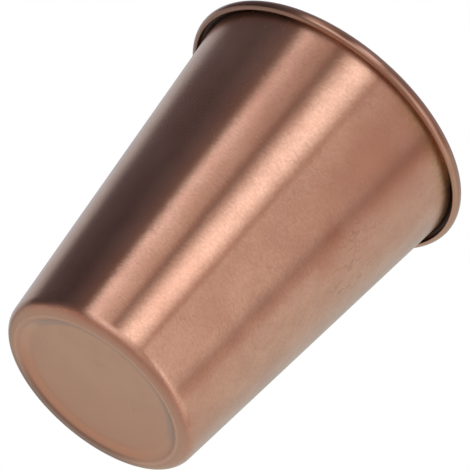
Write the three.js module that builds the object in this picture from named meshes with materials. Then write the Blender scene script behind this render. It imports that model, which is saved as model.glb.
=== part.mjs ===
// A double-walled steel tumbler: an outer shell, an inner liner whose mouth is rolled over the shell,
// and a shallow dished cap that closes the foot. Millimetres, +Z up. The origin is the middle of the standing face.

import * as THREE from 'three';

// Driving dimensions of the whole cup.
const height = 109;
const rimDiameter = 88;
const shellTopDiameter = 82.3; // shell's outside, carried up its slope to the full height
const shellFootDiameter = 59.9; // shell's outside, carried down its slope to the standing face

// Sheet thickness of each pressed piece.
const shellSheet = 0.6;
const linerSheet = 0.6;
const capSheet = 0.6;

// Foot of the shell.
const cornerRadius = 3.6; // outside of the rounded corner between the wall and the standing ring
const standingWidth = 0.8; // flat ring that touches the table
const lipBend = 0.3; // inside radius where the ring turns up into the lip
const lipHeight = 1.6; // top of the lip above the table

// Cap in the foot: a shallow dish.
const recessDepth = 1.3; // middle of the dish above the table
const dishRadius = 6.4; // bend of the dish's edge down towards the lip, on the side that shows
const dishTurnDegrees = 30; // how far that bend turns

// Liner.
const airGap = 3; // between the two walls, at the liner's floor corner
const floorGap = 2.4; // between the cap and the liner's floor
const linerCorner = 5; // inside radius of the liner's floor corner
const hookRadius = 1.35; // outside radius of the rolled rim's lower half
const hookTurnDegrees = 105; // how far the rolled rim turns back in below its widest place

// Gap between pieces that are pressed together.
const clearance = 0.3;

// Number of facets.
const facetsAround = 64;
const degreesPerArcStep = 22;

// Shell wall: a straight cone, as the radius of its outside or inside at a height.
const shellSlope = (shellTopDiameter - shellFootDiameter) / 2 / height;
const shellTilt = Math.atan(shellSlope);
const shellSheetAcross = shellSheet / Math.cos(shellTilt);
const shellOutside = (z) => shellFootDiameter / 2 + shellSlope * z;
const shellInside = (z) => shellOutside(z) - shellSheetAcross;

// Rolled rim: a half circle over the shell's edge. The liner's outside runs beside the shell's inside at the
// level where the half circle starts, and the half circle reaches from the mouth to the rim's outside.
const rimRadius = rimDiameter / 2;
const radialStack = shellSheetAcross + clearance + linerSheet;
const archRadius = (rimRadius - shellTopDiameter / 2 + radialStack) / (2 - shellSlope);
const archCentre = { r: rimRadius - archRadius, z: height - archRadius };
const hookCentre = { r: rimRadius - hookRadius, z: archCentre.z };
const hookTurn = THREE.MathUtils.degToRad(hookTurnDegrees);

// Foot: the corner's centre, the lip's centre of bending and the lip's inside, which holds the cap.
const cornerCentre = { r: shellOutside(cornerRadius) - cornerRadius / Math.cos(shellTilt), z: cornerRadius };
const lipCentre = { r: cornerCentre.r - standingWidth, z: lipBend + shellSheet };
const lipInside = lipCentre.r - lipBend - shellSheet;

const down = -Math.PI / 2;
const up = Math.PI / 2;

// Points of an arc about a centre, from one angle to another, both in radians from the radial direction.
function arc(centre, radius, from, to) {
  const sweep = THREE.MathUtils.radToDeg(Math.abs(to - from));
  const steps = Math.max(2, Math.ceil(sweep / degreesPerArcStep));
  const points = [];
  for (let i = 0; i <= steps; i += 1) {
    const angle = from + ((to - from) * i) / steps;
    points.push(new THREE.Vector2(centre.r + radius * Math.cos(angle), centre.z + radius * Math.sin(angle)));
  }
  return points;
}

const point = (r, z) => new THREE.Vector2(r, z);

// A closed solid of revolution about Z from an outline of radius and height, walked counter-clockwise.
function turned(outline) {
  const samePlace = 1e-4;
  const profile = outline.filter((p, i) => i === 0 || p.distanceTo(outline[i - 1]) > samePlace);
  const geometry = new THREE.LatheGeometry(profile, facetsAround);
  geometry.rotateX(Math.PI / 2);
  return geometry;
}

// Outer shell: wall, rounded corner, standing ring and turned-up lip, as one sheet.
function outerShell() {
  const top = archCentre.z;
  const outline = [
    point(shellInside(top), top),
    ...arc(cornerCentre, cornerRadius - shellSheet, -shellTilt, down),
    ...arc(lipCentre, lipBend, down, -Math.PI),
    point(lipInside + shellSheet, lipHeight),
    point(lipInside, lipHeight),
    ...arc(lipCentre, lipBend + shellSheet, -Math.PI, down),
    ...arc(cornerCentre, cornerRadius, down, -shellTilt),
    point(shellOutside(top), top),
    point(shellInside(top), top),
  ];
  return turned(outline);
}

// Base cap: a flat floor whose edge bends down towards the table and ends inside the shell's lip.
function baseCap() {
  const dishTurn = THREE.MathUtils.degToRad(dishTurnDegrees);
  const edgeRadius = lipInside - clearance;
  const bendCentre = { r: edgeRadius - (dishRadius + capSheet) * Math.sin(dishTurn), z: recessDepth - dishRadius };
  const outline = [
    point(0, recessDepth),
    ...arc(bendCentre, dishRadius, up, up - dishTurn),
    ...arc(bendCentre, dishRadius + capSheet, up - dishTurn, up),
    point(0, recessDepth + capSheet),
  ];
  return turned(outline);
}

// Inner liner: a floor, a rounded corner, a straight wall that runs tangent into the rolled rim, and the hook
// that the roll ends in. The sheet has the same thickness all along.
function innerLiner() {
  const floorTop = recessDepth + capSheet + floorGap + linerSheet;
  const floorCentre = { r: 0, z: floorTop + linerCorner };
  floorCentre.r = shellInside(floorCentre.z) - airGap - linerSheet - linerCorner;
  const across = archCentre.r - floorCentre.r;
  const rise = archCentre.z - floorCentre.z;
  const wallTilt = Math.acos((archRadius + linerCorner) / Math.hypot(across, rise)) - Math.atan2(rise, across);
  const wallStart = Math.PI - wallTilt;
  const outline = [
    point(0, floorTop - linerSheet),
    ...arc(floorCentre, linerCorner + linerSheet, down, -wallTilt),
    ...arc(archCentre, archRadius - linerSheet, wallStart, up),
    ...arc(archCentre, archRadius - linerSheet, up, 0),
    ...arc(hookCentre, hookRadius - linerSheet, 0, -hookTurn),
    ...arc(hookCentre, hookRadius, -hookTurn, 0),
    ...arc(archCentre, archRadius, 0, up),
    ...arc(archCentre, archRadius, up, wallStart),
    ...arc(floorCentre, linerCorner, -wallTilt, down),
    point(0, floorTop),
  ];
  return turned(outline);
}

// Each piece with its finish: brushed copper colour on the wall and rim, matt on the cap.
function piece(name, geometry, color, roughness) {
  const material = new THREE.MeshStandardMaterial({ color, roughness, metalness: 1 });
  const mesh = new THREE.Mesh(geometry, material);
  mesh.name = name;
  return mesh;
}

const tumbler = new THREE.Group();
tumbler.add(piece('outer_shell', outerShell(), 0xc08a74, 0.32));
tumbler.add(piece('inner_liner', innerLiner(), 0xb98470, 0.28));
tumbler.add(piece('base_cap', baseCap(), 0xa88672, 0.5));

export default tumbler;
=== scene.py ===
# %% [markdown]
# A copper-coloured steel tumbler, seen from below.
# The cup is three pressed sheets: an outer shell, an inner liner whose mouth is rolled over the
# shell, and a shallow cap in the foot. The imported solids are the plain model. This lesson lays a
# smooth skin on each of them, gives each skin its finish, and builds a small studio round the cup.

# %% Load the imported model
import math

import bpy
import numpy as np
from mathutils import Matrix, Vector


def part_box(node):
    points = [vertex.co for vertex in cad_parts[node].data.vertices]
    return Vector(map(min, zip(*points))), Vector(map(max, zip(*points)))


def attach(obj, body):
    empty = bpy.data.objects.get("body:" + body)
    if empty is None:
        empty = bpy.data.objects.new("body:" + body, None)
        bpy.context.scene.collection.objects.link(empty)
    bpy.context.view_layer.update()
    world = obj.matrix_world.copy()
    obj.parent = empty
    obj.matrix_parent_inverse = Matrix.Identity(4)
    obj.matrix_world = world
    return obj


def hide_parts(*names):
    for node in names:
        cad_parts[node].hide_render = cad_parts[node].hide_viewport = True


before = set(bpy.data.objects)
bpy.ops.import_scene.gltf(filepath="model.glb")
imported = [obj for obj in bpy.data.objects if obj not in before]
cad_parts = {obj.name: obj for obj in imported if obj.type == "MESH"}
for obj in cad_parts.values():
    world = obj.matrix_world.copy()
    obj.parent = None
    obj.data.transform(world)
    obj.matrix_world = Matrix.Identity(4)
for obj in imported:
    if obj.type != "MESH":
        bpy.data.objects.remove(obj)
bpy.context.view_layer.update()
print("nodes:", sorted(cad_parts))

# %% [markdown]
# The sizes. A designer sets a few and works out the rest, so that the skins lie on the solids. The
# height and the rim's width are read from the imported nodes. Sheet thickness and bend radii are too
# fine to read off a faceted solid, so they are written here, in millimetres, as a sheet-metal
# drawing gives them.

# %% Sizes of the sheets
MM = 0.001

_, liner_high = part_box("inner_liner")
height = liner_high.z / MM
rim_radius = liner_high.x / MM

sheet = 0.6
clearance = 0.3
shell_top_radius = 41.15
shell_foot_radius = 29.95
corner_radius = 3.6
standing_width = 0.8
lip_bend = 0.3
lip_height = 1.6
recess_depth = 1.3
dish_radius = 6.4
dish_turn = math.radians(30)
air_gap = 3.0
floor_gap = 2.4
liner_corner = 5.0
hook_radius = 1.35
hook_turn = math.radians(105)

shell_slope = (shell_top_radius - shell_foot_radius) / height
shell_tilt = math.atan(shell_slope)
half_sheet = sheet / 2


def shell_outside(z):
    """Radius of the shell's outside at a height: a straight line from the foot to the top."""
    return shell_foot_radius + shell_slope * z


def shell_inside(z):
    """Radius of the shell's inside: the outside less the sheet, measured level across the slope."""
    return shell_outside(z) - sheet / math.cos(shell_tilt)


arch_stack = sheet / math.cos(shell_tilt) + clearance + sheet
arch_radius = (rim_radius - shell_top_radius + arch_stack) / (2 - shell_slope)
arch_centre = np.array([rim_radius - arch_radius, height - arch_radius])
print(f"cup {height:.1f} mm high, rim {2 * rim_radius:.1f} mm, roll {2 * arch_radius:.2f} mm wide")

# %% [markdown]
# A pressed sheet is a strip that runs straight, bends, and runs straight again. So its section is
# drawn the way a press brake makes it: start somewhere, head somewhere, and list the moves. Each
# move has a length and a turn. The strip then gets its thickness on both sides of that middle line,
# and its free edges are rounded. A Bevel modifier could round the edges too, but here the bends and
# edges are exact at any fineness.


# %% Section of a bent sheet
EDGE_STEPS = 8


def middle_line(start, heading, moves):
    """Middle line of a bent sheet, in radius and height, with the heading at each point.

    Along a move of length L and turn T the heading grows evenly, h(s) = h + T s / L. The place is the
    sum of the headings: a straight run where T is 0, and else an arc of radius L / T about a point
    square to the heading.
    """
    places = [np.array([start], float)]
    headings = [np.array([heading])]
    for length, turn, steps in moves:
        share = np.linspace(0, 1, steps + 1)[1:]
        angle = heading + turn * share
        if turn:
            radius = length / turn
            across = np.sin(angle) - math.sin(heading)
            upward = math.cos(heading) - np.cos(angle)
            along = radius * np.stack([across, upward], 1)
        else:
            along = length * share[:, None] * np.array([math.cos(heading), math.sin(heading)])
        places.append(places[-1][-1] + along)
        headings.append(angle)
        heading += turn
    return np.concatenate(places), np.concatenate(headings)


def bend(radius, turn, degrees_a_step=5):
    """A move round a bend: its length is the radius of the middle line times the turn."""
    return radius * abs(turn), turn, max(2, math.ceil(abs(math.degrees(turn)) / degrees_a_step))


def straight(length, step=1.5):
    """A move straight on, cut into steps so that the shading stays even."""
    return length, 0.0, max(1, math.ceil(length / step))


def strip_outline(places, headings, round_start):
    """Closed outline of the sheet about its middle line, walked once round.

    The two sides lie half a sheet to the right and to the left of the middle line. A free edge is a
    half circle from one side to the other about the middle line's end. A start on the axis has no
    edge and stays open.
    """
    side = np.stack([np.sin(headings), -np.cos(headings)], 1)
    right_side = places + half_sheet * side
    left_side = places - half_sheet * side
    half_turn = np.linspace(-math.pi / 2, math.pi / 2, EDGE_STEPS + 1)[1:-1]

    def rounded_edge(end, heading):
        """Points of the half circle round an end, from the right side to the left."""
        angle = heading + half_turn
        return end + half_sheet * np.stack([np.cos(angle), np.sin(angle)], 1)

    parts = [right_side, rounded_edge(places[-1], headings[-1]), left_side[::-1]]
    if round_start:
        parts.append(rounded_edge(places[0], headings[0] + math.pi))
    return np.concatenate(parts)


print("a right-angle bend of 3 mm:", bend(3.0, math.pi / 2))

# %% [markdown]
# Spinning an outline about the cup's axis gives the skin. Blender's Spin tool or a Screw modifier
# does this, but a grid of angle against outline is only a line of numpy, and it leaves no seam: the
# last column of faces goes back to the first column of points. Where an outline starts and ends on
# the axis, each end is a single point with a fan.

# %% Spin an outline into a skin
AROUND = 288
ON_AXIS = 1e-6


def ring_faces(rings, closed):
    """Four-sided faces between neighbouring rings, and from the last to the first where closed."""
    row = np.arange(rings if closed else rings - 1)[:, None]
    column = np.arange(AROUND)[None, :]
    after = (column + 1) % AROUND
    above = (row + 1) % rings
    here = [row * AROUND + column, row * AROUND + after]
    there = [above * AROUND + after, above * AROUND + column]
    return np.stack(here + there, 2).reshape(-1, 4).tolist()


def fan_faces(tip, first, second):
    """Triangles from a single point to each pair of neighbours on a ring."""
    return np.stack([np.full(AROUND, tip), first, second], 1).tolist()


def spin(name, outline):
    """Skin of an outline of radius r and height z: the points (r cos a, r sin a, z) for all a."""
    angle = np.linspace(0, 2 * math.pi, AROUND, endpoint=False)
    starts_on_axis = outline[0, 0] < ON_AXIS
    rings = outline[1:-1] if starts_on_axis else outline
    r, z = rings[:, :1], rings[:, 1:]
    heights = np.broadcast_to(z, (len(r), AROUND))
    grid = np.stack([r * np.cos(angle), r * np.sin(angle), heights], 2)
    points = grid.reshape(-1, 3)
    faces = ring_faces(len(rings), closed=not starts_on_axis)
    if starts_on_axis:
        ring = np.arange(AROUND)
        after = (ring + 1) % AROUND
        last = (len(rings) - 1) * AROUND
        faces += fan_faces(len(points), after, ring)
        faces += fan_faces(len(points) + 1, last + ring, last + after)
        points = np.concatenate([points, [[0, 0, outline[0, 1]], [0, 0, outline[-1, 1]]]])
    mesh = bpy.data.meshes.new(name)
    mesh.from_pydata((points * MM).tolist(), [], faces)
    mesh.validate()
    mesh.shade_smooth()
    skin = bpy.data.objects.new(name, mesh)
    bpy.context.scene.collection.objects.link(skin)
    print(f"{name}: {len(outline)} outline points, {len(mesh.polygons)} faces")
    return skin


print("faces in a grid of 3 closed rings:", len(ring_faces(3, closed=True)))

# %% [markdown]
# The outer shell. Its strip starts under the rolled rim, runs straight down the wall, turns in
# round the foot corner, crosses the narrow ring that the cup stands on, and turns up into a short
# lip.

# %% Outer shell
corner_middle = corner_radius - half_sheet
wall_foot = corner_radius - corner_middle * math.sin(shell_tilt)
wall_length = (arch_centre[1] - wall_foot) / math.cos(shell_tilt)
shell_top = (shell_outside(arch_centre[1]) - half_sheet / math.cos(shell_tilt), arch_centre[1])
shell_moves = [
    straight(wall_length),
    bend(corner_middle, -(math.pi / 2 - shell_tilt)),
    straight(standing_width, step=0.2),
    bend(lip_bend + half_sheet, -math.pi / 2, degrees_a_step=10),
    straight(lip_height - lip_bend - sheet, step=0.2),
]
shell_line = middle_line(shell_top, -math.pi / 2 - shell_tilt, shell_moves)
shell_skin = spin("outer_shell_skin", strip_outline(*shell_line, round_start=True))
lip_inside = shell_line[0][-1, 0] - half_sheet
standing_face = shell_line[0][:, 1].min() - half_sheet
print(f"standing face at {standing_face:.3f} mm, lip inside radius {lip_inside:.2f} mm")

# %% [markdown]
# The base cap is a shallow dish. Its flat middle bends down towards the table all round and runs
# into the lip. There a weld closes the joint on the real cup, so only a fine crease is left. Here
# the sheet's edge ends inside the lip's own sheet, and the crease is where the two faces cross. It
# lies part of the way round the lip's bend, and the run-out is the short straight end that the lip
# hides.

# %% Base cap
RUN_OUT = 0.32
CREASE = math.radians(46)

lip_outside = lip_bend + sheet
crease_inset = lip_outside * (1 - math.sin(CREASE))
dish_middle = dish_radius + half_sheet
dish_edge = lip_inside - RUN_OUT * math.cos(dish_turn) + crease_inset
cap_moves = [
    straight(dish_edge - dish_radius * math.sin(dish_turn)),
    bend(dish_middle, -dish_turn, degrees_a_step=1.5),
    straight(RUN_OUT, step=0.1),
]
cap_line = middle_line((0.0, recess_depth + half_sheet), 0.0, cap_moves)
cap_skin = spin("base_cap_skin", strip_outline(*cap_line, round_start=False))
print(f"dish {recess_depth} mm deep, flat to radius {cap_moves[0][0]:.2f} mm")

# %% [markdown]
# The inner liner starts in the middle of its floor, turns up round the floor corner, rises to the
# mouth, and is rolled outward over the shell's top edge. The roll ends in a tighter hook, whose
# free edge hangs clear of the wall. The wall's tilt is the one at which a straight line touches
# both the floor corner's circle and the roll's circle. The hook stops half a sheet short, because
# its rounded edge adds that much.

# %% Inner liner
floor_top = recess_depth + sheet + floor_gap + sheet
floor_centre_height = floor_top + liner_corner
floor_centre_radius = shell_inside(floor_centre_height) - air_gap - sheet - liner_corner
span = arch_centre - np.array([floor_centre_radius, floor_centre_height])
reach = float(np.hypot(*span))
liner_tilt = math.acos((arch_radius + liner_corner) / reach) - math.atan2(span[1], span[0])
liner_wall = math.sqrt(reach**2 - (arch_radius + liner_corner) ** 2)
hook_middle = hook_radius - half_sheet
liner_moves = [
    straight(floor_centre_radius),
    bend(liner_corner + half_sheet, math.pi / 2 - liner_tilt),
    straight(liner_wall),
    bend(arch_radius - half_sheet, -(math.pi - liner_tilt)),
    bend(hook_middle, -(hook_turn - half_sheet / hook_middle)),
]
liner_line = middle_line((0.0, floor_top - half_sheet), 0.0, liner_moves)
liner_skin = spin("inner_liner_skin", strip_outline(*liner_line, round_start=False))
roll_top = liner_line[0][:, 1].max() + half_sheet
roll_edge = liner_line[0][:, 0].max() + half_sheet
print(f"roll reaches {roll_top:.2f} mm up and {roll_edge:.2f} mm out")

# %% [markdown]
# The solids stay in the file as the exact model, and only the skins are seen. Nothing on this cup
# moves, so all three skins ride on its one body. Each skin hides the solid that it stands for.

# %% Each skin stands for its solid
for skin, node, slot in (
    (shell_skin, "outer_shell", "brushed_copper_wall"),
    (liner_skin, "inner_liner", "satin_copper_liner"),
    (cap_skin, "base_cap", "matt_copper_base"),
):
    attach(skin, "root")
    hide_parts(node)
    print(f"{skin.name} stands for {node}")

# %% [markdown]
# Shader maths. Node trees are easier to read as sums, so one small class wraps a socket: adding or
# multiplying two of them adds a Math node, and every other node comes from one method.


# %% Sockets as values
class Flow:
    """An output socket of a node tree, used like a number."""

    def __init__(self, tree, socket=None):
        self.tree = tree
        self.socket = socket

    def node(self, kind, settings=None, inputs=None, out=0):
        """Adds a node: its settings first, then its sockets' values or links. Gives one output."""
        made = self.tree.nodes.new(kind)
        for name, value in (settings or {}).items():
            if name == "stops":
                self.fill_ramp(made.color_ramp, value)
            else:
                setattr(made, name, value)
        for key, value in (inputs or {}).items():
            if isinstance(value, Flow):
                self.tree.links.new(value.socket, made.inputs[key])
            else:
                made.inputs[key].default_value = value
        return Flow(self.tree, made.outputs[out] if len(made.outputs) else None)

    @staticmethod
    def fill_ramp(ramp, stops):
        """Sets a colour ramp's stops: pairs of a place from 0 to 1 and a colour."""
        while len(ramp.elements) > 1:
            ramp.elements.remove(ramp.elements[-1])
        ramp.elements[0].position = stops[0][0]
        ramp.elements[0].color = (*stops[0][1], 1.0)
        for along, colour in stops[1:]:
            ramp.elements.new(along).color = (*colour, 1.0)

    def other(self, name):
        """Another output of the same node."""
        return Flow(self.tree, self.socket.node.outputs[name])

    def math(self, operation, *values):
        """A Math node on numbers or sockets."""
        return self.node("ShaderNodeMath", {"operation": operation}, dict(enumerate(values)))

    def __add__(self, other):
        return self.math("ADD", self, other)

    def __sub__(self, other):
        return self.math("SUBTRACT", self, other)

    def __rsub__(self, other):
        return self.math("SUBTRACT", other, self)

    def __mul__(self, other):
        return self.math("MULTIPLY", self, other)

    def __truediv__(self, other):
        return self.math("DIVIDE", self, other)

    __radd__ = __add__
    __rmul__ = __mul__


print("operators on sockets:", "+ - * /")

# %% [markdown]
# A finish is a sum of a few simple things: where a point lies, a noise that is even or drawn out
# into lines, a soft step that turns a number into a mask, and a blend of two colours by a mask.
# Each gets a helper here.


# %% Helpers for the finishes
def new_material(name):
    """An empty material and the start of its tree."""
    material = bpy.data.materials.new(name)
    material.use_nodes = True
    material.node_tree.nodes.clear()
    return material, Flow(material.node_tree)


def place(flow):
    """Object coordinates: metres from an object's own origin, which for the skins is the cup's."""
    return flow.node("ShaderNodeTexCoord", out="Object")


def axes(flow, where):
    """The three coordinates of a place."""
    x = flow.node("ShaderNodeSeparateXYZ", inputs={0: where}, out="X")
    return x, x.other("Y"), x.other("Z")


def from_axis(flow, x, y):
    """Distance from the cup's axis."""
    return flow.math("SQRT", x * x + y * y)


def between(flow, value, low, high):
    """0 below low, 1 above high, and a smooth step between them."""
    return flow.node(
        "ShaderNodeMapRange",
        {"interpolation_type": "SMOOTHSTEP"},
        {"Value": value, "From Min": low, "From Max": high},
    )


def near(flow, where, spot, reach):
    """1 at a spot, fading smoothly to 0 at a distance of reach."""
    ends = {0: where, 1: spot}
    distance = flow.node("ShaderNodeVectorMath", {"operation": "DISTANCE"}, ends, out="Value")
    return 1.0 - between(flow, distance, 0.0, reach)


def stretched_noise(flow, where, scales, detail=2.0, roughness=0.5):
    """Noise with a grain of 1 / scale metres along each axis: unequal scales draw it into lines."""
    spread = flow.node("ShaderNodeVectorMath", {"operation": "MULTIPLY"}, {0: where, 1: scales})
    return flow.node(
        "ShaderNodeTexNoise",
        inputs={"Vector": spread, "Scale": 1.0, "Detail": detail, "Roughness": roughness},
    )


def noise_mask(flow, where, scales, low, high, **more):
    """A noise as a mask: 0 where it is below low, 1 where it is above high."""
    return between(flow, stretched_noise(flow, where, scales, **more), low, high)


def hairlines(flow, where, scales, thin, wide):
    """1 on the thin lines where a noise passes through its middle value, fading to 0 beside them."""
    off_middle = flow.math("ABSOLUTE", stretched_noise(flow, where, scales) - 0.5)
    return 1.0 - between(flow, off_middle, thin, wide)


def blend_colour(flow, first, second, share):
    """First colour where share is 0, second where it is 1."""
    return flow.node("ShaderNodeMix", {"data_type": "RGBA"}, {0: share, 6: first, 7: second}, out=2)


print("a grain of 700 to the metre is", round(1000 / 700, 2), "mm long")

# %% [markdown]
# The unbrushed finish. The base cap comes matt from the press, with a fine even grain under the
# copper-coloured coat, and so does the foot of the shell up to the middle of its corner. One
# function makes the shader for both. Its colour has a painted shade that deepens slowly towards
# the far side of the base, with soft clouds and a few hair scratches. The dish's bend has painted
# shade at the far side and a grey painted glint at the near side, greyest at its two ends. The
# standing ring is painted darker as shade, darkest at the far side.

# %% Colours of the matt base
MATT = (0.80, 0.51, 0.355, 1.0)
# Painted shade: the matt colour deepens and warms towards the far side of the base.
MATT_FAR_SHADE = (0.74, 0.44, 0.295, 1.0)
MATT_SHADE = (0.72, 0.44, 0.31, 1.0)
# Painted shade on the far side of the dish's bend.
BEND_FAR_SHADE = (0.74, 0.415, 0.275, 1.0)
# Painted glint: the near side of the dish's bend is greyer, greyest at its two ends.
BEND_NEAR_GLINT = (0.69, 0.44, 0.31, 1.0)
BEND_ENDS_GLINT = (0.60, 0.41, 0.315, 1.0)
# Painted shade on the standing ring, darkest at the far side; the same colour draws the scratches.
RING_SHADE_AND_SCRATCH = (0.70, 0.435, 0.31, 1.0)
RING_FAR_SHADE = (0.42, 0.28, 0.215, 1.0)
# Soft steps in metres: three outward from the axis, then three along y and one along x.
FAR_STARTS = (0.0205, 0.0222)
NEAR_STARTS = (0.0219, 0.0228)
RING_STARTS = (0.0245, 0.0252)
FAR_SIDE_ENDS = (-0.018, -0.004)
NEAR_SIDE_STARTS = (0.002, 0.008)
FAR_RING_SHADE_ENDS = (-0.025, -0.012)
GLINT_STARTS = (0.012, 0.019)


def matt_colour(flow, where):
    """Colour of the unbrushed sheet: clouds, scratches, and painted shade and glint on it."""
    x, y, _ = axes(flow, where)
    radius = from_axis(flow, x, y)
    # Painted shade: darker and warmer towards the far side of the base.
    colour = blend_colour(flow, MATT_FAR_SHADE, MATT, between(flow, y + x * 0.55, -0.026, 0.018))
    clouds = noise_mask(flow, where, (70.0, 70.0, 70.0), 0.35, 0.75, detail=4.0, roughness=0.6)
    colour = blend_colour(flow, colour, MATT_SHADE, clouds * 0.6)
    scratched = noise_mask(flow, where, (90.0, 90.0, 90.0), 0.5, 0.6)
    scratches = scratched * hairlines(flow, where, (120.0, 150.0, 120.0), 0.002, 0.010)
    colour = blend_colour(flow, colour, RING_SHADE_AND_SCRATCH, scratches * 0.5)
    # Painted shade on the dish's bend at the far side.
    on_far_side = 1.0 - between(flow, y, *FAR_SIDE_ENDS)
    far_bend = between(flow, radius, *FAR_STARTS) * on_far_side
    colour = blend_colour(flow, colour, BEND_FAR_SHADE, far_bend)
    on_ring = between(flow, radius, *RING_STARTS)
    # Painted glint: grey on the near side of the dish's bend, greyest at its ends.
    on_near_side = between(flow, y, *NEAR_SIDE_STARTS)
    near_bend = between(flow, radius, *NEAR_STARTS) * on_near_side * (1.0 - on_ring)
    ends = between(flow, flow.math("ABSOLUTE", x), *GLINT_STARTS)
    near_glint = blend_colour(flow, BEND_NEAR_GLINT, BEND_ENDS_GLINT, ends)
    colour = blend_colour(flow, colour, near_glint, near_bend)
    # Painted shade: the standing ring is darker, darkest at the far side.
    ring = blend_colour(flow, RING_FAR_SHADE, RING_SHADE_AND_SCRATCH, between(flow, y, *FAR_RING_SHADE_ENDS))
    return blend_colour(flow, colour, ring, on_ring)


print("standing ring from radius", RING_STARTS[0] / MM, "mm")


# %% Matt copper base
def matt_finish(flow, where):
    """Shader of the unbrushed sheet: its colour, and a fine grain in the roughness and the bump."""
    grain = stretched_noise(flow, where, (2600.0, 2600.0, 2600.0))
    bump_inputs = {"Strength": 0.1, "Distance": 0.00003, "Height": grain}
    bump = flow.node("ShaderNodeBump", inputs=bump_inputs)
    return flow.node(
        "ShaderNodeBsdfPrincipled",
        inputs={
            "Base Color": matt_colour(flow, where),
            "Metallic": 1.0,
            "Roughness": 0.38 + grain * 0.1,
            "Coat Weight": 0.1,
            "Coat Roughness": 0.35,
            "Normal": bump,
        },
    )


def matt_copper():
    """Material of the base cap: the unbrushed finish all over."""
    material, flow = new_material("matt_copper")
    flow.node("ShaderNodeOutputMaterial", inputs={"Surface": matt_finish(flow, place(flow))})
    return material


cap_skin.data.materials.append(matt_copper())
print("base finish:", cap_skin.data.materials[0].name)

# %% [markdown]
# The marks on the wall. A brushed wall is never even: it has a short grain, faint lines round the
# cup, blotches in the coat, a few specks, and hair-thin scratches. A scratch is a place where a
# noise passes through its middle value, which is a thin winding line. One spot was rubbed in use,
# and there the lines are small hooks.

# %% Marks on the wall
RUBBED = (-0.0280, 0.0240, 0.0680)
RUBBED_REACH = 0.018


def wall_marks(flow, where):
    """Share of shade from the small marks: grain, lines, blotches, specks, scratches and hooks."""
    grain = noise_mask(flow, where, (1100.0, 1100.0, 1400.0), 0.3, 0.7, detail=3.0)
    lines = noise_mask(flow, where, (450.0, 450.0, 1800.0), 0.3, 0.7, detail=3.0)
    blotches = noise_mask(flow, where, (110.0, 110.0, 90.0), 0.3, 0.7, detail=4.0, roughness=0.6)
    specks = noise_mask(flow, where, (650.0, 650.0, 800.0), 0.69, 0.75)
    scratched = noise_mask(flow, where, (45.0, 45.0, 45.0), 0.52, 0.58)
    scratches = hairlines(flow, where, (90.0, 90.0, 120.0), 0.001, 0.006) * scratched
    rubbed = near(flow, where, RUBBED, RUBBED_REACH)
    rubbed = rubbed * noise_mask(flow, where, (160.0, 160.0, 160.0), 0.5, 0.56)
    curls = hairlines(flow, where, (300.0, 300.0, 260.0), 0.01, 0.04)
    hooks = curls * between(flow, rubbed, 0.1, 0.5)
    of_the_brush = grain * 0.35 + lines * 0.1
    return of_the_brush + blotches * 0.5 + specks * 0.6 + scratches * 0.5 + hooks * 0.8


print("rubbed spot", round(RUBBED[2] / MM, 1), "mm up, hooks within", RUBBED_REACH / MM, "mm of it")

# %% [markdown]
# The wall's colour. The marks shade a pale copper. The coat is redder in patches, more so towards
# the rim, and in two smudges near the rubbed spot. Close under the rim, on one side, it has gold
# spots.

# %% Colour of the wall
COPPER = (0.80, 0.44, 0.31, 1.0)
COPPER_SHADE = (0.62, 0.31, 0.215, 1.0)
REDDISH = (0.64, 0.285, 0.185, 1.0)
GOLD_TINT = (0.55, 0.315, 0.14, 1.0)
GOLD_SIDE = (0.004, 0.018)
GOLD_HEIGHT = (0.1005, 0.1045)
SMUDGES = (
    ((-0.0203, 0.0305, 0.0650), 0.0060),
    ((-0.0245, 0.0262, 0.0600), 0.0070),
)


def wall_colour(flow, where, marks, handled):
    """Colour of the brushed wall: shaded copper, red patches and smudges, and gold under the rim."""
    x, _, up = axes(flow, where)
    colour = blend_colour(flow, COPPER, COPPER_SHADE, marks)
    patches = noise_mask(flow, where, (30.0, 30.0, 24.0), 0.42, 0.62, detail=4.0, roughness=0.6)
    colour = blend_colour(flow, colour, REDDISH, patches * (0.3 + handled * 0.3))
    for spot, reach_of_spot in SMUDGES:
        smudge = near(flow, where, spot, reach_of_spot) * (0.5 + marks * 0.8)
        colour = blend_colour(flow, colour, REDDISH, smudge)
    one_side = between(flow, x * -1.0, *GOLD_SIDE)
    spots = noise_mask(flow, where, (700.0, 700.0, 700.0), 0.46, 0.6, detail=4.0)
    gold = one_side * between(flow, up, *GOLD_HEIGHT) * (0.25 + spots * 0.75)
    return blend_colour(flow, colour, GOLD_TINT, gold)


print(len(SMUDGES), "smudges, gold from", GOLD_HEIGHT[0] / MM, "mm up")

# %% [markdown]
# The wall's finish: steel brushed round and round, under a thin copper-coloured coat and a clear
# lacquer. Brush lines spread a reflection across themselves, so lights become streaks up the wall.
# The shader does that with its anisotropy. Its tangent runs round the cup by itself, and a quarter
# turn of the rotation points the spread up the wall. Brush lines in the bump fray the edges of the
# streaks. Handling dulls the metal a little towards the rim. Round the foot the brushed wall fades
# into the unbrushed finish.

# %% Brushed copper wall
LACQUER = 0.6
BRUSHED_FROM = (0.0003, 0.0011)
HANDLED_FROM = (0.0, 0.11)


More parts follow.
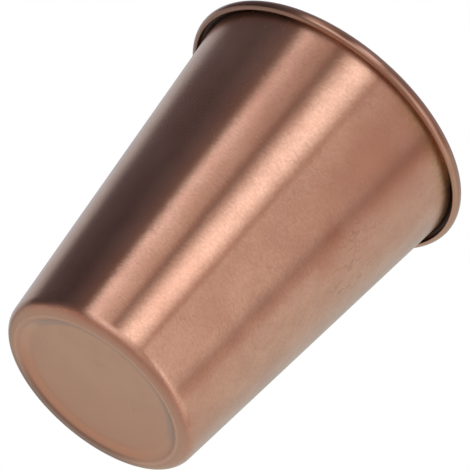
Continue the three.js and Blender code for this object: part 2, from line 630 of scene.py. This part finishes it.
def brushed_copper():
    """Material of the shell: the brushed wall, and the unbrushed finish round the foot."""
    material, flow = new_material("brushed_copper")
    where = place(flow)
    up = axes(flow, where)[2]
    handled = between(flow, up, *HANDLED_FROM)
    marks = wall_marks(flow, where)
    brush_lines = stretched_noise(flow, where, (350.0, 350.0, 2000.0))
    bump_inputs = {"Strength": 1.0, "Distance": 0.000032, "Height": brush_lines}
    bump = flow.node("ShaderNodeBump", inputs=bump_inputs)
    wall = flow.node(
        "ShaderNodeBsdfPrincipled",
        inputs={
            "Base Color": wall_colour(flow, where, marks, handled),
            "Metallic": 1.0 - handled * 0.05,
            "Roughness": 0.20 + handled * 0.04 + marks * 0.04,
            "Anisotropic": 1.0,
            "Anisotropic Rotation": 0.25,
            "Coat Weight": LACQUER,
            "Coat Roughness": 0.22,
            "Normal": bump,
        },
    )
    brushed = between(flow, up, *BRUSHED_FROM)
    matt = matt_finish(flow, where)
    surface = flow.node("ShaderNodeMixShader", inputs={0: brushed, 1: matt, 2: wall})
    flow.node("ShaderNodeOutputMaterial", inputs={"Surface": surface})
    return material


shell_skin.data.materials.append(brushed_copper())
print("wall finish:", shell_skin.data.materials[0].name)

# %% [markdown]
# The rolled rim has several finishes close together, and painted light and shade, so it needs masks.
# The hardest is the inside of the roll, where the coat doesn't reach well and the colour is painted
# shade. That mask measures how deep a point lies under the roll's outside, whose upper half is one
# circle and whose lower half is the hook's smaller one. The others need only the height over the
# roll's middle, the distance from the axis, and the side of the cup.


# %% Masks of the rolled rim
# Soft steps in metres: three down from the roll's middle, one to a side and one to the front.
UNDERSIDE = (0.0003, 0.0011)
LIT_LIP_BELOW = (0.0007, 0.00115)
EDGE_BELOW = (0.00122, 0.00134)
LIT_LIP_SIDE = (0.016, 0.034)
ROLL_FRONT = (0.024, 0.034)


def outside_roll(flow, radius, rise):
    """How far a place lies outside the roll's outer face, in metres, and below 0 inside it.

    It is the distance from the centre of the roll's circle less that circle's radius, and under the
    roll's middle the same for the hook's circle.
    """

    def beyond(centre_radius, circle_radius):
        """Distance past one circle that is carried round the cup."""
        out = radius - centre_radius * MM
        return flow.math("SQRT", out * out + rise * rise) - circle_radius * MM

    upper = beyond(arch_centre[0], arch_radius)
    lower = beyond(rim_radius - hook_radius, hook_radius)
    return lower + (upper - lower) * between(flow, rise, 0.0, 0.00005)


def roll_masks(flow, where):
    """The roll, its inside, its front, its underside, the dull lip on that painted as lit, and the
    hook's edge.
    """
    x, y, z = axes(flow, where)
    radius = from_axis(flow, x, y)
    rise = z - arch_centre[1] * MM
    depth = outside_roll(flow, radius, rise)
    middle = arch_centre[0] * MM
    outer = between(flow, radius, middle, middle + 0.3 * MM)
    below = rise * -1.0
    in_front = between(flow, y - x * 0.2, *ROLL_FRONT)
    lit_lip_side = between(flow, x, *LIT_LIP_SIDE)
    return {
        "roll": between(flow, radius, middle - 1.0 * MM, middle + 0.8 * MM),
        "inside": 1.0 - between(flow, depth, -0.6 * sheet * MM, -0.4 * sheet * MM),
        "front": in_front,
        "under": outer * between(flow, below, *UNDERSIDE),
        # Painted light: a dull lip on one side of the underside, coloured as lit.
        "dull_lit_lip": outer * between(flow, below, *LIT_LIP_BELOW) * lit_lip_side,
        "edge": outer * between(flow, below, *EDGE_BELOW) * in_front,
    }


print(f"roll's circle {arch_radius:.2f} mm, hook's circle {hook_radius:.2f} mm")

# %% [markdown]
# The liner has the wall's coat, paler and in a softer satin. Rolling polishes the sheet, so the rim
# is smoother, its reflections are crisper, and fine lines run along it in the bump. Dark streaks
# between its reflections are painted along the roll. Its underside has painted shade, with painted
# light on one side, and on the other side a dull lip painted as lit. In front the hook's lowest
# edge is greyer. The inside of the roll is painted dark as shade, and golden as light at the front.

# %% Satin copper liner
LINER = (0.86, 0.56, 0.42, 1.0)
ROLL = (0.56, 0.29, 0.205, 1.0)
# Painted reflection: dark streaks along the roll between its highlights.
ROLL_PAINTED_STREAKS = (0.24, 0.11, 0.085, 1.0)
# Painted shade on the roll's underside, and painted light on it on one side.
UNDER_ROLL_SHADE = (0.50, 0.265, 0.18, 1.0)
UNDER_ROLL_LIT = (0.62, 0.345, 0.235, 1.0)
# Painted light: the dull lip on one side of the roll's underside, coloured as lit.
PAINTED_LIT_LIP = (0.32, 0.18, 0.13, 1.0)
# In front the hook's lowest edge is greyer.
GREYER_EDGE = (0.52, 0.39, 0.30, 1.0)
# Painted shade inside the roll, and painted light in gold at its front.
INSIDE_PAINTED_SHADE = (0.08, 0.042, 0.028, 1.0)
INSIDE_PAINTED_LIGHT = (0.85, 0.58, 0.38, 1.0)
PAINTED_LIGHT_SIDE = (0.010, 0.032)


def satin_colour(flow, where, masks, lines):
    """Colour of the liner: pale, then the roll with painted streaks, shade and light, and its edge."""
    x = axes(flow, where)[0]
    colour = blend_colour(flow, LINER, ROLL, masks["roll"])
    # Painted reflection: dark streaks along the roll, faint on the rest of the liner.
    painted_streaks = between(flow, lines, 0.42, 0.58) * (0.05 + masks["roll"] * 0.4)
    colour = blend_colour(flow, colour, ROLL_PAINTED_STREAKS, painted_streaks)
    # Painted shade under the roll, with painted light on one side.
    painted_light_side = between(flow, x * -1.0, *PAINTED_LIGHT_SIDE)
    under = blend_colour(flow, UNDER_ROLL_SHADE, UNDER_ROLL_LIT, painted_light_side)
    colour = blend_colour(flow, colour, under, masks["under"])
    # Painted light: the dull lip on one side of the underside.
    colour = blend_colour(flow, colour, PAINTED_LIT_LIP, masks["dull_lit_lip"])
    # The hook's lowest edge is greyer in front.
    colour = blend_colour(flow, colour, GREYER_EDGE, masks["edge"])
    # Painted shade inside the roll, with painted light at its front.
    inside = blend_colour(flow, INSIDE_PAINTED_SHADE, INSIDE_PAINTED_LIGHT, masks["front"])
    return blend_colour(flow, colour, inside, masks["inside"])


def satin_copper():
    """Material of the liner: satin in the cup, smoother on the roll, no lacquer inside the roll."""
    material, flow = new_material("satin_copper")
    where = place(flow)
    masks = roll_masks(flow, where)
    lines = stretched_noise(flow, where, (30.0, 30.0, 3000.0))
    clouds = stretched_noise(flow, where, (60.0, 60.0, 60.0), detail=4.0)
    lacquer = LACQUER - masks["roll"] * 0.1 - masks["dull_lit_lip"] * 0.4
    bump_inputs = {"Strength": 1.0, "Distance": 0.0001, "Height": lines}
    bump = flow.node("ShaderNodeBump", inputs=bump_inputs)
    surface = flow.node(
        "ShaderNodeBsdfPrincipled",
        inputs={
            "Base Color": satin_colour(flow, where, masks, lines),
            # Less metal on the painted lit lip, so that it takes diffuse light.
            "Metallic": 0.85 + masks["roll"] * 0.15 - masks["dull_lit_lip"] * 0.8,
            "Roughness": 0.32 - masks["roll"] * 0.15 + clouds * 0.06 + masks["inside"] * 0.15,
            "Anisotropic": 0.4,
            "Anisotropic Rotation": 0.25,
            "Coat Weight": lacquer * (1.0 - masks["inside"]),
            "Coat Roughness": 0.2,
            "Normal": bump,
        },
    )
    flow.node("ShaderNodeOutputMaterial", inputs={"Surface": surface})
    return material


liner_skin.data.materials.append(satin_copper())
print("liner finish:", liner_skin.data.materials[0].name)

# %% [markdown]
# The camera. The photograph was taken with a long lens from below the foot, with the cup leaning to
# the right. The cup stays upright here, so the camera goes below it, looks up, and is rolled by the
# lean.

# %% Camera
LOOK_UP = math.radians(28.97)
LEAN = math.radians(40.97)
AIM = Vector((-0.0008, 0.0, 0.0628))
CAMERA_DISTANCE = 1.3639
LENS = 388.9
SENSOR = 36.0

forward = Vector((0, -math.cos(LOOK_UP), math.sin(LOOK_UP)))
level_right = forward.cross(Vector((0, 0, 1))).normalized()
level_up = level_right.cross(forward)
right = math.cos(LEAN) * level_right + math.sin(LEAN) * level_up
up = math.cos(LEAN) * level_up - math.sin(LEAN) * level_right

camera_data = bpy.data.cameras.new("camera")
camera_data.lens = LENS
camera_data.sensor_width = SENSOR
camera = bpy.data.objects.new("camera", camera_data)
camera_turn = Matrix((right, up, -forward)).transposed().to_4x4()
camera.matrix_world = Matrix.Translation(AIM - CAMERA_DISTANCE * forward) @ camera_turn
bpy.context.scene.collection.objects.link(camera)
bpy.context.scene.camera = camera
print("camera at", [round(value, 3) for value in camera.matrix_world.translation])

# %% [markdown]
# The floor is plain and pale. The camera looks up through it, so its underside is clear: a shader
# can tell which side it is seen from. From above it is an ordinary floor and keeps the cup's
# shadow.

# %% Floor
FLOOR_SIZE = 6.0
FLOOR_COLOUR = (0.86, 0.86, 0.86, 1.0)


def floor_material():
    """A matt floor from above, clear from below."""
    material, flow = new_material("pale_floor")
    under = flow.node("ShaderNodeNewGeometry", out="Backfacing")
    matt = flow.node("ShaderNodeBsdfDiffuse", inputs={"Color": FLOOR_COLOUR})
    clear = flow.node("ShaderNodeBsdfTransparent")
    surface = flow.node("ShaderNodeMixShader", inputs={0: under, 1: matt, 2: clear})
    flow.node("ShaderNodeOutputMaterial", inputs={"Surface": surface})
    return material


half_floor = FLOOR_SIZE / 2
floor_mesh = bpy.data.meshes.new("floor")
floor_corners = [(-half_floor, -half_floor, 0), (half_floor, -half_floor, 0)]
floor_corners += [(half_floor, half_floor, 0), (-half_floor, half_floor, 0)]
floor_mesh.from_pydata(floor_corners, [], [(0, 1, 2, 3)])
floor = bpy.data.objects.new("floor", floor_mesh)
floor_mesh.materials.append(floor_material())
bpy.context.scene.collection.objects.link(floor)
floor.visible_glossy = False
print("floor", FLOOR_SIZE, "m square")

# %% [markdown]
# The studio. A metal cup is only as good as what it mirrors, so a photographer stands cloth panels
# round it: white ones that make bright streaks and dark ones that make dark streaks. Here they are
# one round tent that only reflections see. Its colour is a ramp of the angle round the cup, counted
# from the camera, and each stop has an angle, a level and a cloth.

# %% Panels round the cup
PLAIN = (1.0, 1.0, 1.0)
WHITE = (0.96, 1.03, 1.06)
ICE = (0.96, 1.05, 1.12)
PALE = (0.97, 1.02, 0.96)
COOL = (0.92, 1.0, 1.04)
CREAM = (1.0, 1.025, 1.0)
TAN = (1.0, 0.89, 0.83)
BROWN = (1.0, 0.80, 0.72)
MAUVE = (1.0, 0.95, 1.10)
PANELS = (
    (-180, 0.90, PLAIN),
    (-165, 0.65, COOL),
    (-144, 0.62, COOL),
    (-132, 0.50, COOL),
    (-121, 0.10, MAUVE),
    (-85, 0.06, MAUVE),
    (-70, 0.125, MAUVE),
    (-60.5, 0.20, BROWN),
    (-57.8, 0.45, CREAM),
    (-54, 1.17, ICE),
    (-50.5, 1.40, ICE),
    (-45, 1.18, ICE),
    (-38, 0.91, CREAM),
    (-32.5, 0.74, CREAM),
    (-28.5, 0.45, BROWN),
    (-26, 0.26, BROWN),
    (-20, 0.72, CREAM),
    (-15, 1.32, WHITE),
    (-9.5, 1.64, WHITE),
    (-4, 1.56, WHITE),
    (2, 1.00, CREAM),
    (6.5, 0.56, BROWN),
    (10, 0.86, CREAM),
    (48, 0.84, CREAM),
    (55, 0.68, CREAM),
    (60.5, 0.49, TAN),
    (63.5, 0.57, TAN),
    (69.5, 0.62, TAN),
    (73.5, 0.69, CREAM),
    (100, 0.68, PALE),
    (165, 0.52, PALE),
    (180, 0.90, PLAIN),
)
print(len(PANELS), "stops, the brightest at level", max(level for _, level, _ in PANELS))

# %% [markdown]
# Cloth is never lit evenly. Towards their tops most of the light panels fade, and the dark ones get
# a little lighter. Above them is a dim ceiling, lighter on one side, and straight overhead a grey
# opening. Below them is a table, pale behind the cup and brown in front of it, with one pale strip
# across.

# %% Tops, ceiling and table
LIFTED = (1.27, 1.30, 1.36)
DEEP = (0.45, 0.33, 0.30)
FADED = (0.55, 0.42, 0.40)
HALF_FADED = (0.77, 0.69, 0.67)
WARMED = (0.95, 0.85, 0.81)
TOPS = (
    (-130, PLAIN),
    (-106, LIFTED),
    (-88, LIFTED),
    (-66, PLAIN),
    (-56, HALF_FADED),
    (-42, DEEP),
    (-28, DEEP),
    (-20, WARMED),
    (-12, PLAIN),
    (-2, PLAIN),
    (8, HALF_FADED),
    (28, FADED),
    (60, FADED),
    (70, HALF_FADED),
    (86, PLAIN),
)
CEILING = (0.23, 0.24, 0.26)
CEILING_BESIDE = (0.50, 0.49, 0.48)
OVERHEAD = (0.42, 0.43, 0.45)
TABLE = (
    (0.1, (0.60, 0.59, 0.58)),
    (0.5, (0.54, 0.44, 0.41)),
    (0.77, (0.38, 0.31, 0.29)),
    (0.83, (0.70, 0.66, 0.63)),
    (0.86, (0.70, 0.66, 0.63)),
    (0.92, (0.34, 0.28, 0.26)),
)
print(len(TOPS), "stops for the tops,", len(TABLE), "for the table")

# %% [markdown]
# In the photograph the cup lies at a slant and the panels stand upright. The wall mirrors a narrow
# belt of the tent, so there the panels can stand upright about the cup. The underside of the rim
# and the foot corner mirror what lies lower, and there the panels lean, which draws the slanting
# streaks along the rim. So a second ramp holds the same panels by their angle about the
# photograph's upright, placed so that the two agree in the wall's belt.

# %% Colour of the panels
TENT_RADIUS = 0.3
TENT_BRIGHTEST = 1.9
TURN = 2 * math.pi
WALL_BELT = math.radians(17)
LEAN_BELOW = (-0.32, -0.08)
TOPS_FROM = (0.08, 0.46)


def glow_of(cloth, level=1.0):
    """A cloth's colour at a level, as a share of the tent's strongest glow."""
    return tuple(level * part / TENT_BRIGHTEST for part in cloth)


def leaning_angle(degrees):
    """Angle about the photograph's upright of the panel that the wall's belt has at this angle."""
    turn = math.radians(degrees)
    level = math.cos(WALL_BELT)
    there = Vector((-level * math.sin(turn), level * math.cos(turn), math.sin(WALL_BELT)))
    return math.degrees(math.atan2(there.dot(right), -there.dot(forward)))


def along_way(flow, where, way):
    """How far a place lies in a direction."""
    both = {0: where, 1: way}
    return flow.node("ShaderNodeVectorMath", {"operation": "DOT_PRODUCT"}, both, out="Value")


def ramp(flow, stops, along):
    """A colour ramp along a value from 0 to 1."""
    return flow.node("ShaderNodeValToRGB", {"stops": stops}, {"Fac": along})


def panel_colour(flow, where, rise):
    """Colour of the panels: upright in the wall's belt, leaning below it, changed at their tops."""
    x, y, _ = axes(flow, where)
    round_cup = (flow.math("ARCTAN2", x * -1.0, y) + math.pi) / TURN
    stops = [((angle + 180) / 360, glow_of(cloth, level)) for angle, level, cloth in PANELS]
    upright = ramp(flow, stops, round_cup)
    start = leaning_angle(-180)
    to_side = along_way(flow, where, right)
    to_front = along_way(flow, where, -forward)
    round_studio = flow.math("ARCTAN2", to_side, to_front) / TURN + (1 - start / 360)
    stops = [
        ((leaning_angle(angle) - start) % 360 / 360, glow_of(cloth, level))
        for angle, level, cloth in PANELS[:-1]
    ]
    leaning = ramp(flow, stops, flow.math("FRACT", round_studio))
    panels = blend_colour(flow, leaning, upright, between(flow, rise, *LEAN_BELOW))
    tops = ramp(flow, [((angle + 180) / 360, cloth) for angle, cloth in TOPS], round_cup)
    multiply = {"data_type": "RGBA", "blend_type": "MULTIPLY"}
    topped = {0: between(flow, rise, *TOPS_FROM), 6: panels, 7: tops}
    return flow.node("ShaderNodeMix", multiply, topped, out=2)


print("the panel in front is at", round(leaning_angle(0), 1), "degrees about the photograph's upright")

# %% [markdown]
# The tent itself is a sphere that glows. Its two edges meet in a seam behind the cup, and its
# middle is near half the cup's height. Only reflections see it: it lights no floor and casts no
# shadow of its own.

# %% Tent
TENT_MIDDLE = 0.05
LIGHTER_SIDE = (0.06, 0.16)
CEILING_FROM = (0.59, 0.82)
OPENING_FROM = (0.86, 0.94)
TABLE_BELOW = (-0.5, -0.2)
TABLE_BACK = (-0.2, -0.05)


def tent_material():
    """A glow in the panels' colours, with the ceiling and opening above and the table below."""
    material, flow = new_material("tent_panels")
    where = place(flow)
    x, y, z = axes(flow, where)
    rise = z / TENT_RADIUS
    plain = (*glow_of(CEILING), 1.0)
    beside = (*glow_of(CEILING_BESIDE), 1.0)
    ceiling = blend_colour(flow, plain, beside, between(flow, x * -1.0, *LIGHTER_SIDE))
    colour = panel_colour(flow, where, rise)
    colour = blend_colour(flow, colour, ceiling, between(flow, rise, *CEILING_FROM))
    opening = (*glow_of(OVERHEAD), 1.0)
    colour = blend_colour(flow, colour, opening, between(flow, rise, *OPENING_FROM))
    stops = [(along, glow_of(cloth)) for along, cloth in TABLE]
    table = ramp(flow, stops, y / (2 * TENT_RADIUS) + 0.5)
    lower_in_front = between(flow, y, *TABLE_BACK) * 0.24
    over_table = between(flow, rise + lower_in_front, *TABLE_BELOW)
    colour = blend_colour(flow, table, colour, over_table)
    glow = flow.node("ShaderNodeEmission", inputs={"Color": colour, "Strength": TENT_BRIGHTEST})
    flow.node("ShaderNodeOutputMaterial", inputs={"Surface": glow})
    return material


def tent_mesh(columns=90, rows=40):
    """A sphere with a seam behind: radius times (-cos e sin a, cos e cos a, sin e).

    The angle a is counted from the camera, and e is the elevation.
    """
    around = np.radians(np.linspace(-180, 180, columns + 1))
    rise = np.radians(np.linspace(-89, 89, rows + 1))[:, None]
    x = -np.cos(rise) * np.sin(around)
    y = np.cos(rise) * np.cos(around)
    z = np.broadcast_to(np.sin(rise), x.shape)
    points = TENT_RADIUS * np.stack([x, y, z], 2).reshape(-1, 3)
    corner = np.arange(rows)[:, None] * (columns + 1) + np.arange(columns)[None, :]
    corner = corner.reshape(-1)
    faces = np.stack([corner, corner + columns + 1, corner + columns + 2, corner + 1], 1)
    mesh = bpy.data.meshes.new("tent")
    mesh.from_pydata(points.tolist(), [], faces.tolist())
    return mesh


tent = bpy.data.objects.new("tent", tent_mesh())
tent.data.materials.append(tent_material())
tent.location.z = TENT_MIDDLE
bpy.context.scene.collection.objects.link(tent)
tent.visible_camera = False
tent.visible_diffuse = False
tent.visible_shadow = False
print("tent", 2 * TENT_RADIUS, "m wide with", len(tent.data.polygons), "faces")

# %% [markdown]
# The room is white to the camera and in reflections, and dimmer as light, so that the pale floor
# doesn't wash out. One large lamp, high behind the cup, draws its soft shadow on the floor.

# %% Room and lamp
ROOM_LIGHT = 0.6
LAMP_POWER = 14.0
LAMP_SIZE = 1.6
LAMP_PLACE = Vector((0.3, -0.9, 1.3))

world = bpy.data.worlds.new("white_room")
bpy.context.scene.world = world
world.use_nodes = True
world.node_tree.nodes.clear()
sky = Flow(world.node_tree)
ray = sky.node("ShaderNodeLightPath", out="Is Camera Ray")
seen = sky.math("MAXIMUM", ray, ray.other("Is Glossy Ray"))
seen = sky.math("MAXIMUM", seen, ray.other("Is Transmission Ray"))
strength = ROOM_LIGHT + seen * (1 - ROOM_LIGHT)
white = sky.node("ShaderNodeBackground", inputs={"Color": (1, 1, 1, 1), "Strength": strength})
sky.node("ShaderNodeOutputWorld", inputs={"Surface": white})

lamp_data = bpy.data.lights.new("lamp", "AREA")
lamp_data.energy = LAMP_POWER
lamp_data.size = LAMP_SIZE
lamp = bpy.data.objects.new("lamp", lamp_data)
lamp.location = LAMP_PLACE
lamp.rotation_euler = LAMP_PLACE.to_track_quat("Z", "Y").to_euler()
lamp.visible_glossy = False
bpy.context.scene.collection.objects.link(lamp)
bpy.context.scene.view_settings.view_transform = "Standard"
print("room light", ROOM_LIGHT, "lamp", LAMP_POWER, "W")
